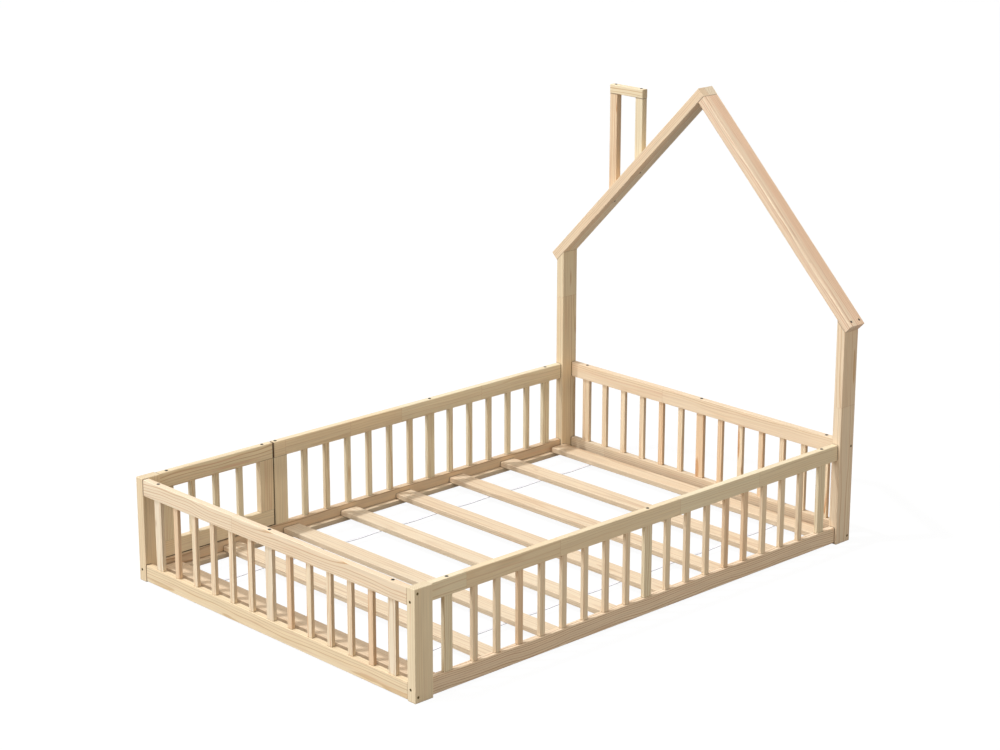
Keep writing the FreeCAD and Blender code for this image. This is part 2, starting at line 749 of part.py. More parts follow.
# Foot posts
def foot_post(side, y, tools):
    name = f"foot_post_{side}"
    place = ("foot_end", y, "0")
    blank = board(
        name + "_blank", "Z", "post_depth", "post_thickness", "foot_post_height", place, eased=EVERY_WAY
    )
    node(cut(name, blank, *tools), name)


near_foot_tools = gather(
    "near_foot_tools",
    (side_bolt_hole, side_bolt_places("near_rail_middle", near_heights, ("foot",))),
    (end_bolt_hole, end_bolt_places("foot_rail_middle", end_heights, ("near",))),
)
far_foot_tools = gather(
    "far_foot_tools",
    (side_bolt_hole, far_foot_bolts),
    (end_bolt_hole, end_bolt_places("foot_rail_middle", end_heights, ("far",))),
    (hinge_screw_hole, post_hinge_screws),
)
foot_post("near", "near_side", [near_foot_tools])
foot_post("far", "far_post_face", [far_foot_tools])


# Head posts, cut at the top to the slope of the rafters
def head_post(side, y, outer_top, inner_top, tools):
    name = f"head_post_{side}"
    outline = (("0", "0"), ("post_thickness", "0"), ("post_thickness", inner_top), ("0", outer_top))
    place = ("head_post_face", y, "0")
    blank = prism(name + "_blank", "X", outline, "post_depth", (ALONG_Z,), "edge_chamfer", place)
    node(cut(name, blank, tools), name)


near_head_tools = gather(
    "near_head_tools",
    (side_bolt_hole, side_bolt_places("near_rail_middle", near_heights, ("head",))),
    (end_bolt_hole, end_bolt_places("head_rail_middle", end_heights, ("near",))),
    (rafter_screw_hole, near_foot_screws),
)
far_head_tools = gather(
    "far_head_tools",
    (side_bolt_hole, far_head_bolts),
    (end_bolt_hole, end_bolt_places("head_rail_middle", end_heights, ("far",))),
    (rafter_screw_hole, far_foot_screws),
)
head_post("near", "near_side", "eave_height", "eave_height + post_slope", near_head_tools)
head_post("far", "far_post_face", "eave_height + post_slope", "eave_height", far_head_tools)


# Rafters: the far one runs through to the ridge, the near one butts under it
def chimney_screw_places():
    """Screws driven straight up through the far rafter into the chimney's uprights."""
    places = []
    for low_side in ("inner_upright_y", "outer_upright_y"):
        across = size(low_side) + size("upright_width") / 2
        height = size("ridge_low") - across * math.tan(pitch)
        along = size("chimney_x") + size("chimney_depth") / 2
        places.append(pointing(Vector(along, across, height), ALONG_Z))
    return places


def cap_screw_places():
    return [
        pointing(Vector(place.Base.x, place.Base.y, size("chimney_high")), -ALONG_Z)
        for place in chimney_screw_places()
    ]


FAR_RAFTER = (
    ("tip_low_y", "tip_low_z"),
    ("tip_high_y", "tip_high_z"),
    ("0", "ridge_high"),
    ("-butt_offset", "butt_high"),
)
NEAR_RAFTER = (
    ("-tip_low_y", "tip_low_z"),
    ("0", "ridge_low"),
    ("-butt_offset", "butt_high"),
    ("-tip_high_y", "tip_high_z"),
)


def rafter(side, outline, uphill, *tools):
    """A rafter whose long edges, along the slope, are eased."""
    name = f"rafter_{side}"
    place = ("head_post_face", "0", "0")
    blank = prism(name + "_blank", "X", outline, "post_depth", (uphill,), "edge_chamfer", place)
    node(cut(name, blank, *tools), name)


far_rafter_holes = gather(
    "far_rafter_holes",
    (rafter_screw_hole, far_foot_screws),
    (ridge_screw_hole, ridge_screws),
    (chimney_screw_hole, chimney_screw_places()),
)
near_rafter_holes = gather(
    "near_rafter_holes", (rafter_screw_hole, near_foot_screws), (ridge_screw_hole, ridge_screws)
)
rafter("far", FAR_RAFTER, far_uphill, far_rafter_holes)
rafter("near", NEAR_RAFTER, near_uphill, near_rafter_holes)


# Chimney: two uprights that stand on the slope, and a cap across them
def chimney_upright(name, low_side):
    low = f"(ridge_high - {low_side} * tan(roof_pitch))"
    outline = (
        ("0", low),
        ("upright_width", f"{low} - upright_width * tan(roof_pitch)"),
        ("upright_width", "cap_low"),
        ("0", "cap_low"),
    )
    place = ("chimney_x", low_side, "0")
    blank = prism(name + "_blank", "X", outline, "chimney_depth", (ALONG_Z,), "edge_chamfer", place)
    holes = gather(
        name + "_holes", (chimney_screw_hole, chimney_screw_places()), (cap_screw_hole, cap_screw_places())
    )
    node(cut(name, blank, holes), name)


chimney_upright("chimney_inner_upright", "inner_upright_y")
chimney_upright("chimney_outer_upright", "outer_upright_y")
cap_blank = board(
    "chimney_cap_blank",
    "Y",
    "chimney_depth",
    "chimney_cap_height",
    "chimney_width",
    ("chimney_x", "inner_upright_y", "cap_low"),
)
cap_holes = gather("chimney_cap_holes", (cap_screw_hole, cap_screw_places()))
node(cut("chimney_cap", cap_blank, cap_holes), "chimney_cap")
chimney_screw_group = gather(
    "chimney_screw_group", (chimney_screw, chimney_screw_places()), (cap_screw, cap_screw_places())
)
node(chimney_screw_group, "chimney_screws")


# End stile of the far panel, with the screw from the rail above and the magnet of the catch in its edge
def magnet_place():
    face = size("stile_x") - size("magnet_stand_out")
    return pointing(Vector(face, size("far_rail_middle"), size("catch_height")), ALONG_X)


magnet = many_sided("magnet", HEAD_SIDES, "magnet_diameter", "magnet_length", "0")
magnet_hole = many_sided(
    "magnet_hole", HEAD_SIDES, "magnet_diameter + 2 * hole_clearance", "magnet_length + hole_clearance", "0"
)
stile_blank = gather(
    "far_stile_blank", (end_stile, standing(lifted(end_stile_point, size("bottom_rail_high")), NO_TURN))
)
stile_holes = gather(
    "far_stile_holes",
    (bar_screw_hole, downward(bar_screw_points["far"][-1:], size("top_rail_high"))),
    (magnet_hole, [magnet_place()]),
)
node(cut("far_stile", stile_blank, stile_holes), "far_end_stile")
node(gather("catch_magnet", (magnet, [magnet_place()])), "catch_magnet")


# Gate
gate_screw_points = side_points(
    "far_rail_middle",
    [size("gate_x") + size("gate_screw_inset"), size("gate_end") - size("gate_screw_inset")],
)
gate_screws = downward(gate_screw_points, size("top_rail_high"))


def gate_rail(level, z, slot_height):
    name = f"gate_{level}_rail"
    place = ("gate_x", "far_rail_y", z)
    blank = board(name + "_blank", "X", "rail_thickness", "rail_height", "gate_width", place, eased=EVERY_WAY)
    slots = slot_set(
        name + "_slots",
        slot_height,
        level == "top",
        NO_TURN,
        (baluster_slot, gate_baluster_points),
        (stile_slot, hinge_stile_point + latch_stile_point),
    )
    holes = [(hinge_screw_hole, gate_hinge_screws)]
    if level == "top":
        holes.append((bar_screw_hole, gate_screws))
    node(cut(name, blank, slots, gather(name + "_holes", *holes)), name)


def gate_stile_node(name, point):
    blank = gather(name + "_blank", (gate_stile, standing(lifted(point, size("gate_rail_high")), NO_TURN)))
    node(cut(name, blank, gather(name + "_holes", (bar_screw_hole, gate_screws))), name)


gate_rail("top", "top_rail_low", size("top_rail_low"))
gate_rail("bottom", "gate_low", size("gate_rail_high"))
gate_stile_node("gate_hinge_stile", hinge_stile_point)
gate_stile_node("gate_latch_stile", latch_stile_point)
gate_bar_places = standing(lifted(gate_baluster_points, size("gate_rail_high")), NO_TURN)
node(gather("gate_baluster_group", (gate_baluster, gate_bar_places)), "gate_balusters")
node(gather("gate_screw_group", (bar_screw, gate_screws)), "gate_screws")
striker = box(
    "catch_striker",
    "striker_thickness",
    "striker_width",
    "striker_height",
    ("gate_end", "far_rail_middle - striker_width / 2", "catch_height - striker_height / 2"),
)
node(striker, "catch_striker")


# Gate hinges: the post leaf holds the two outer knuckles, the cranked gate leaf the middle one
def on_hinge_axis(name, diameter, height, low):
    item = many_sided(name, HEAD_SIDES, diameter, height, "0")
    move_to(item, ("hinge_x", "hinge_y", low))
    return item


def pin_bore(name, low):
    diameter = over_corners("hinge_pin_diameter", "hinge_running_clearance", HEAD_SIDES)
    return on_hinge_axis(name, diameter, "hinge_height + 2 * overrun", f"{low} - overrun")


def hinge(level):
    low = f"{level}_hinge_low"
    middle_low = f"{low} + knuckle_height"
    post_leaf = box(
        f"{level}_post_plate",
        "hinge_leaf_width",
        "hinge_leaf_thickness",
        "hinge_height",
        ("hinge_x - hinge_leaf_width", "far_side", low),
    )
    post_barrel = on_hinge_axis(f"{level}_post_barrel", "knuckle_diameter", "hinge_height", low)
    middle_gap = box(
        f"{level}_middle_gap",
        "knuckle_diameter + 2 * knuckle_clearance",
        "knuckle_diameter + 2 * knuckle_clearance",
        "knuckle_height",
        (
            "hinge_x - knuckle_diameter / 2 - knuckle_clearance",
            "hinge_y - knuckle_diameter / 2 - knuckle_clearance",
            middle_low,
        ),
    )
    post_bore = pin_bore(f"{level}_post_bore", low)
    post_screw_holes = gather(f"{level}_post_leaf_holes", (hinge_screw_hole, post_hinge_screws))
    post_blank = fuse(f"{level}_post_leaf_blank", post_leaf, post_barrel)
    node(
        cut(f"{level}_post_leaf", post_blank, middle_gap, post_bore, post_screw_holes),
        f"{level}_hinge_post_leaf",
    )

    gate_leaf = box(
        f"{level}_gate_plate",
        "hinge_leaf_width - gate_hinge_gap / 2",
        "hinge_leaf_thickness",
        "hinge_height",
        ("gate_x", "gate_face", low),
    )
    crank = box(
        f"{level}_crank",
        "hinge_crank_width",
        "hinge_y - gate_face",
        "knuckle_height - 2 * knuckle_clearance",
        ("gate_x", "gate_face", f"{middle_low} + knuckle_clearance"),
    )
    gate_barrel = on_hinge_axis(
        f"{level}_gate_barrel",
        "knuckle_diameter",
        "knuckle_height - 2 * knuckle_clearance",
        f"{middle_low} + knuckle_clearance",
    )
    gate_blank = fuse(f"{level}_gate_leaf_blank", gate_leaf, crank, gate_barrel)
    gate_bore = pin_bore(f"{level}_gate_bore", low)
    gate_screw_holes = gather(f"{level}_gate_leaf_holes", (hinge_screw_hole, gate_hinge_screws))
    node(cut(f"{level}_gate_leaf", gate_blank, gate_bore, gate_screw_holes), f"{level}_hinge_gate_leaf")


for level in ("upper", "lower"):
    hinge(level)
hinge_pin = cylinder("hinge_pin", "hinge_pin_diameter", "hinge_height", "0")
pin_feet = [
    Vector(size("hinge_x"), size("hinge_y"), size("upper_hinge_low")),
    Vector(size("hinge_x"), size("hinge_y"), size("lower_hinge_low")),
]
node(gather("hinge_pin_group", (hinge_pin, standing(pin_feet, NO_TURN))), "hinge_pins")


# Ledgers inside the two side rails, the slats on them and the webbing under the slats
def ledger(side, y):
    name = f"{side}_ledger"
    place = ("foot_post_face", y, "bottom_rail_lift")
    node(board(name + "_board", "X", "ledger_width", "ledger_height", "side_rail_length", place), name)


ledger("near", "near_rail_y + rail_thickness")
ledger("far", "far_rail_y - ledger_width")

for number in range(SLAT_COUNT):
    is_end_slat = number in (0, SLAT_COUNT - 1)
    near_end = "short_slat_near_end" if is_end_slat else "slat_near_end"
    far_end = "short_slat_far_end" if is_end_slat else "slat_far_end"
    along = f"slat_start + {number} * (slat_stop - slat_width - slat_start) / {SLAT_COUNT - 1}"
    slat = board(
        f"slat_board_{number + 1}",
        "Y",
        "slat_width",
        "slat_thickness",
        f"{far_end} - {near_end}",
        (along, near_end, "slat_low"),
    )
    node(slat, f"slat_{number + 1}")

for side, y in (("near", "near_post_face + strap_inset"), ("far", "far_post_face - strap_inset")):
    strap = box(
        f"{side}_webbing",
        "slat_stop - slat_start",
        "strap_width",
        "strap_thickness",
        ("slat_start", f"{y} - strap_width / 2", "slat_low - strap_thickness"),
    )
    node(strap, f"{side}_strap")


# Check the model, then write one file for each piece
doc.recompute()
failed = [item.Name for item in doc.Objects if "Invalid" in item.State or "Error" in item.State]
if failed:
    raise RuntimeError("failed: " + ", ".join(failed))
os.makedirs("parts", exist_ok=True)
for item in nodes:
    if item.Shape.isNull() or not item.Shape.isValid():
        raise RuntimeError("bad shape: " + item.Label)
    item.Shape.exportStep(f"parts/{item.Label}.step")
print(len(nodes), "pieces written")
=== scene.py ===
import math
from dataclasses import dataclass

import bmesh
import bpy
from mathutils import Euler, Matrix, Vector


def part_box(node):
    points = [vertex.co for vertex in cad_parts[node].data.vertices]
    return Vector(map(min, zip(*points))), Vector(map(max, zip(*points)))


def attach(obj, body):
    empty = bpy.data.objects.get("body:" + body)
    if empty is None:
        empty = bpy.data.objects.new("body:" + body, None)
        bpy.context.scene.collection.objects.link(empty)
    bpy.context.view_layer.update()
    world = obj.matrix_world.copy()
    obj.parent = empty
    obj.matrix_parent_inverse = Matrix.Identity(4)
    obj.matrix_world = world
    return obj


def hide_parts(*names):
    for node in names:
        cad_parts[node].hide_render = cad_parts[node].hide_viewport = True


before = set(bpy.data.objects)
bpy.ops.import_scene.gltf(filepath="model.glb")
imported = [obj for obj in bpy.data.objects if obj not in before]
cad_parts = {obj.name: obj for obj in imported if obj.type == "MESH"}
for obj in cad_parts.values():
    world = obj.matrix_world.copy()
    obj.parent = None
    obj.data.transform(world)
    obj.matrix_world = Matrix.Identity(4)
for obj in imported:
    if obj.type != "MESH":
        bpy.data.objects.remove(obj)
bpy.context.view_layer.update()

MM = 0.001
WHITE = (1, 1, 1, 1)

# Directions of the bed: along it from foot to head, across it from near to far, and up
LENGTHWISE = Vector((1, 0, 0))
CROSSWISE = Vector((0, 1, 0))
UPRIGHT = Vector((0, 0, 1))
ROOF_PITCH = math.radians(45)
FAR_SLOPE = Vector((0, -math.cos(ROOF_PITCH), math.sin(ROOF_PITCH)))
NEAR_SLOPE = Vector((0, math.cos(ROOF_PITCH), math.sin(ROOF_PITCH)))

# Settings that many nodes share
COLOUR_MIX = {"data_type": "RGBA"}
COLOUR_MULTIPLY = {"data_type": "RGBA", "blend_type": "MULTIPLY"}
SMOOTH = {"interpolation_type": "SMOOTHSTEP"}
BY_NUMBER = {"noise_dimensions": "1D"}


def linear(hex_colour):
    """Turns an sRGB hex colour into the linear colour that a socket takes, by the sRGB curve."""
    channels = [int(hex_colour[i : i + 2], 16) / 255 for i in (1, 3, 5)]
    return (*[c / 12.92 if c <= 0.04045 else ((c + 0.055) / 1.055) ** 2.4 for c in channels], 1)


def feed(tree, node, **sockets):
    """Gives the sockets of a node their values or links.

    A socket is named by its label in lower case with _ for spaces, or by a letter and its number.
    A node that is given as a value is linked by the first of its open outputs.
    """
    for key, value in sockets.items():
        if key[1:].isdigit():
            socket = node.inputs[int(key[1:])]
        else:
            socket = next(s for s in node.inputs if s.name.lower().replace(" ", "_") == key and s.enabled)
        if isinstance(value, bpy.types.Node):
            value = next(output for output in value.outputs if output.enabled)
        if isinstance(value, bpy.types.NodeSocket):
            tree.links.new(value, socket)
        else:
            socket.default_value = value


def add(tree, kind, settings=None, **sockets):
    """Adds a node with its settings, and feeds its sockets."""
    node = tree.nodes.new("ShaderNode" + kind)
    for name, value in (settings or {}).items():
        setattr(node, name, value)
    feed(tree, node, **sockets)
    return node


def new_material(name):
    material = bpy.data.materials.new(name)
    material.use_nodes = True
    return material, material.node_tree, material.node_tree.nodes["Principled BSDF"]


def dress(node, material):
    """Gives a node of the CAD its material."""
    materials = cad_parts[node].data.materials
    materials.clear()
    materials.append(material)


def stand_in(shape, node, ending, body, material):
    """Makes a piece of a shape, which takes the place of a node of the CAD."""
    piece = bpy.data.objects.new(node + ending, bpy.data.meshes.new(node + ending))
    shape.to_mesh(piece.data)
    shape.free()
    piece.data.materials.append(material)
    bpy.context.scene.collection.objects.link(piece)
    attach(piece, body)
    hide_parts(node)


def middle_of(node):
    low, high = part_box(node)
    return (Vector(low) + Vector(high)) / 2


def reach_of(node, direction):
    """How far a node reaches each way along a direction."""
    places = [vert.co.dot(direction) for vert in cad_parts[node].data.vertices]
    return min(places), max(places)


# Planed pine, sanded and left bare: pale early wood, thin late-wood lines in long waves, pinkish streaks,
# few knots and a dull sheen
RING_WIDTH = 6.5 * MM
LATE_WOOD_START = 0.62
LATE_WOOD_DARKEST = 0.93
FAINTEST_YEAR = 0.25
PITH_DEPTH = 42 * MM
PITH_SPREAD = 50 * MM
WANDER_LENGTH = 420 * MM
WANDER_DETAIL = 1.5
PINE_ROUGHNESS = 0.66
LATE_WOOD_ROUGHNESS = 0.5
PINE_SPECULAR = 0.3
GRAIN_BUMP = 0.25
GRAIN_DEPTH = 0.2 * MM

# Fibres, drawn wider than real ones so that they show
FIBRE_SHIFT = (0, 1, 1)
FIBRE_WIDTH = 2.6 * MM
FIBRE_LENGTH = 190 * MM
FIBRE_DETAIL = 2
FIBRE_DARK_BELOW = 0.25
FIBRE_PALE_ABOVE = 0.75
FIBRE_DARKEST = 0.9
FIBRE_PALEST = 1.09

# Rosy patches: bars are less rosy than boards
PATCH_SHIFT = (1, 1, 1)
PATCH_WIDTH = 40 * MM
PATCH_LENGTH = 330 * MM
PATCH_DETAIL = 3
ROSY_ABOVE = 0.45
ROSIEST_BOARD = 1.5
ROSIEST_BAR = 2.2

# Pinkish streaks of resin here and there
STREAK = "#DDB08C"
STREAK_SHIFT = (2, 3, 1)
STREAK_WIDTH = 9 * MM
STREAK_LENGTH = 300 * MM
STREAK_DETAIL = 2
STREAK_ABOVE = 0.58
STREAK_FULL = 0.78
STREAK_STRENGTH = 0.4

# Few small knots, drawn out along the grain
KNOT = "#A9744B"
KNOT_SHIFT = (3, 5, 7)
KNOT_SPACING = 120 * MM
KNOT_LENGTH_SPACING = 520 * MM
KNOT_REACH_SHARE = 0.05
KNOT_STRENGTH = 0.8

# Glue lines: zigzag finger joints between two lengths of a board, and a straight line between two strips
SEAM = "#C39468"
SEAM_WIDTH = 1.6 * MM
SEAM_STRENGTH = 0.35
FINGER_WIDTH = 6 * MM
FINGER_LENGTH = 9 * MM
PLY_LINE = 1.2 * MM

# Each length, strip and bar draws its luck by its own number, in uneven steps from the seed
NUMBER_STEP = 1.37
PLY_NUMBER = 0.5
NUMBER_TOLERANCE = 0.5

# Painted shade: dark lines where a board meets the next one, standing in for the shadow in the gap between
# them
JOINT_SHADE = "#75543A"
JOINT_LINE = 3.5 * MM

# End grain drinks more light than the long faces, and joints, slots and bolt holes lie in deep shade
END_GRAIN_ABOVE = 0.5
END_GRAIN_FULL = 0.95
END_GRAIN_SHADE = 0.9
CREVICE_REACH = 9 * MM
CREVICE_SAMPLES = 6
CREVICE_DARK_BELOW = 0.1
CREVICE_PALE_ABOVE = 0.8
CREVICE_SHADE = 0.2

# Each shade: early wood where it is palest, early wood where it is rosiest, late wood
SHADES = {
    "straw": ("#F5E6C6", "#F1DAB6", "#D3AF80"),
    "cream": ("#F7E6CB", "#F2D8B8", "#D9B286"),
    "blush": ("#F6E0C4", "#EFCDAE", "#C98F67"),
    "mixed": ("#F7E2C2", "#EFCAA3", "#D5A375"),
    "flame": ("#FCEDD6", "#F7DFC0", "#C4946A"),
    "sand": ("#EDDBBF", "#E5CBAB", "#C8A27B"),
    "amber": ("#E6CBA9", "#DDB896", "#AC8463"),
}

# Each figure: how dark its late-wood lines are, and how far the pith wanders along the board
FIGURES = {
    "quiet": (0.6, 8 * MM),
    "fine": (0.8, 10 * MM),
    "lined": (1.1, 14 * MM),
    "bold": (1.5, 22 * MM),
    "flamed": (1.4, 32 * MM),
}


@dataclass
class Stock:
    """A board, or a row of bars that share a node, as its pine needs it.

    Its own axes run along the grain, through the thickness and across the width, from the middle of the board
    or of the first bar. Seams are the places along a board where two lengths are finger-jointed, and ply is
    the place through it where two strips are glued side by side. Joints are the planes where it meets another
    board, as a direction, a distance and the strength of the line of painted shade that stands for the gap
    there. Rosy bars are numbered from the first bar.
    """

    shade: str
    figure: str
    grain: Vector
    flat: Vector
    middle: Vector
    seed: int
    seams: tuple = ()
    ply: float | None = None
    joints: tuple = ()
    row_pitch: float | None = None
    rosy_bars: tuple = ()


def along_grain(tree, pattern, board, seed, shift, length, width, **sockets):
    """A pattern that is drawn out along the grain of a board, with cells of a length and a width.

    The seed moves the pattern in steps of its shift, so that no two boards look alike.
    """
    start = Vector(shift) * seed
    cells = add(tree, "Mapping", vector=board, location=start, scale=(1 / length, 1 / width, 1 / width))
    return add(tree, pattern, vector=cells, scale=1, **sockets)


def number_bars(tree, stock, across):
    """The number of each bar, and the place across the bar itself."""
    steps = add(tree, "Math", {"operation": "DIVIDE"}, i0=across, i1=stock.row_pitch)
    number = add(tree, "Math", {"operation": "ROUND"}, i0=steps)
    half = stock.row_pitch / 2
    return number, add(tree, "Math", {"operation": "WRAP"}, i0=across, i1=half, i2=-half)


def rosy_bar_share(tree, number, rosy_bars):
    """1 on the bars that are rosier than the rest, else 0.

    Numbers fall below 0 where the bars' own axis runs against the row, so their size counts.
    """
    place_in_row = add(tree, "Math", {"operation": "ABSOLUTE"}, i0=number)
    share = 0
    for rosy_bar in rosy_bars:
        own = add(tree, "Math", {"operation": "COMPARE"}, i0=place_in_row, i1=rosy_bar, i2=NUMBER_TOLERANCE)
        share = add(tree, "Math", {"operation": "MAXIMUM"}, i0=own, i1=share)
    return share


def number_lengths(tree, stock, along, through):
    """The number of each length and strip of a board, and 1 on the glue lines between them, else 0."""
    number = 0
    lines = 0
    slant = 2 * FINGER_LENGTH / FINGER_WIDTH
    zigzag = add(tree, "Math", {"operation": "PINGPONG"}, i0=through, i1=FINGER_WIDTH / 2)
    fingers = add(tree, "Math", {"operation": "MULTIPLY_ADD"}, i0=zigzag, i1=slant, i2=along)
    for seam in stock.seams:
        passed = add(tree, "Math", {"operation": "GREATER_THAN"}, i0=fingers, i1=seam)
        number = add(tree, "Math", {"operation": "ADD"}, i0=passed, i1=number)
        line = add(tree, "Math", {"operation": "COMPARE"}, i0=fingers, i1=seam, i2=SEAM_WIDTH / 2)
        lines = add(tree, "Math", {"operation": "MAXIMUM"}, i0=line, i1=lines)
    if stock.ply is not None:
        second = add(tree, "Math", {"operation": "GREATER_THAN"}, i0=through, i1=stock.ply)
        number = add(tree, "Math", {"operation": "MULTIPLY_ADD"}, i0=second, i1=PLY_NUMBER, i2=number)
        line = add(tree, "Math", {"operation": "COMPARE"}, i0=through, i1=stock.ply, i2=PLY_LINE / 2)
        lines = add(tree, "Math", {"operation": "MAXIMUM"}, i0=line, i1=lines)
    return number, lines


def distance_from_pith(tree, along, section, number, luck, pith_wander):
    """Distance from the tree's pith, which wanders along the board and lies elsewhere for each number."""
    course = add(tree, "CombineXYZ", x=along, y=number)
    wander = add(
        tree,
        "TexNoise",
        {"noise_dimensions": "2D"},
        vector=course,
        scale=1 / WANDER_LENGTH,
        detail=WANDER_DETAIL,
    )
    pith = add(
        tree,
        "VectorMath",
        {"operation": "MULTIPLY_ADD"},
        i0=luck.outputs["Color"],
        i1=(0, PITH_SPREAD, 2 * PITH_SPREAD),
        i2=(0, PITH_DEPTH - PITH_SPREAD / 2, -PITH_SPREAD),
    )
    wandering_pith = add(
        tree,
        "VectorMath",
        {"operation": "MULTIPLY_ADD"},
        i0=wander.outputs["Color"],
        i1=(0, pith_wander, pith_wander),
        i2=pith,
    )
    from_pith = add(tree, "VectorMath", {"operation": "ADD"}, i0=section, i1=wandering_pith)
    return add(tree, "VectorMath", {"operation": "LENGTH"}, i0=from_pith)


def growth_rings(tree, radius, patches, line_strength):
    """The share of late wood, and the strength of its line, which differs from year to year.

    Early wood darkens to a late-wood line, and then the next ring starts pale.
    """
    phase = add(tree, "Math", {"operation": "MULTIPLY_ADD"}, i0=radius, i1=1 / RING_WIDTH, i2=patches)
    ring = add(tree, "Math", {"operation": "FRACT"}, i0=phase)
    year = add(tree, "Math", {"operation": "SUBTRACT"}, i0=phase, i1=ring)
    luck = add(tree, "TexWhiteNoise", BY_NUMBER, w=year)
    darkening = add(
        tree, "MapRange", SMOOTH, value=ring, from_min=LATE_WOOD_START, from_max=LATE_WOOD_DARKEST
    )
    fading = add(
        tree, "MapRange", SMOOTH, value=ring, from_min=LATE_WOOD_DARKEST, from_max=1, to_min=1, to_max=0
    )
    late_wood = add(tree, "Math", {"operation": "MULTIPLY"}, i0=darkening, i1=fading)
    strength = add(tree, "MapRange", value=luck, to_min=FAINTEST_YEAR * line_strength, to_max=line_strength)
    return late_wood, add(tree, "Math", {"operation": "MULTIPLY"}, i0=late_wood, i1=strength)


def streak_share(tree, board, seed, line_strength):
    """How much of the streaks' colour shows."""
    streaks = along_grain(
        tree, "TexNoise", board, seed, STREAK_SHIFT, STREAK_LENGTH, STREAK_WIDTH, detail=STREAK_DETAIL
    )
    return add(
        tree,
        "MapRange",
        SMOOTH,
        value=streaks,
        from_min=STREAK_ABOVE,
        from_max=STREAK_FULL,
        to_max=STREAK_STRENGTH * line_strength,
    )


def knot_share(tree, board, seed):
    """How much of the knots' colour shows."""
    cells = along_grain(tree, "TexVoronoi", board, seed, KNOT_SHIFT, KNOT_LENGTH_SPACING, KNOT_SPACING)
    return add(
        tree, "MapRange", SMOOTH, value=cells, from_min=KNOT_REACH_SHARE, from_max=0, to_max=KNOT_STRENGTH
    )


def fibre_shade(tree, fibres):
    """What the fibres multiply the colour by."""
    return add(
        tree,
        "MapRange",
        value=fibres,
        from_min=FIBRE_DARK_BELOW,
        from_max=FIBRE_PALE_ABOVE,
        to_min=FIBRE_DARKEST,
        to_max=FIBRE_PALEST,
    )


def joint_shaded(tree, colour, place, joints):
    """A colour with a line of painted shade at each joint, where the gap between two boards lies in shadow.
    """
    for direction, distance, strength in joints:
        reach = add(
            tree, "VectorMath", {"operation": "DOT_PRODUCT"}, i0=place.outputs["Object"], i1=direction
        )
        past = add(tree, "Math", {"operation": "SUBTRACT"}, i0=reach, i1=distance)
        apart = add(tree, "Math", {"operation": "ABSOLUTE"}, i0=past)
        line = add(tree, "MapRange", value=apart, from_max=JOINT_LINE, to_min=strength, to_max=0)
        colour = add(tree, "Mix", COLOUR_MIX, factor=line, a=colour, b=linear(JOINT_SHADE))
    return colour


def end_and_crevice_shade(tree, place, grain):
    """What end grain and crevices multiply the colour by."""
    facing = add(tree, "VectorMath", {"operation": "DOT_PRODUCT"}, i0=place.outputs["Normal"], i1=grain)
    end_face = add(tree, "Math", {"operation": "ABSOLUTE"}, i0=facing)
    end_shade = add(
        tree,
        "MapRange",
        value=end_face,
        from_min=END_GRAIN_ABOVE,
        from_max=END_GRAIN_FULL,
        to_min=1,
        to_max=END_GRAIN_SHADE,
    )
    crevice = add(tree, "AmbientOcclusion", {"samples": CREVICE_SAMPLES}, distance=CREVICE_REACH)
    crevice_shade = add(
        tree,
        "MapRange",
        value=crevice.outputs["AO"],
        from_min=CREVICE_DARK_BELOW,
        from_max=CREVICE_PALE_ABOVE,
        to_min=CREVICE_SHADE,
        to_max=1,
    )
    return add(tree, "Math", {"operation": "MULTIPLY"}, i0=end_shade, i1=crevice_shade)


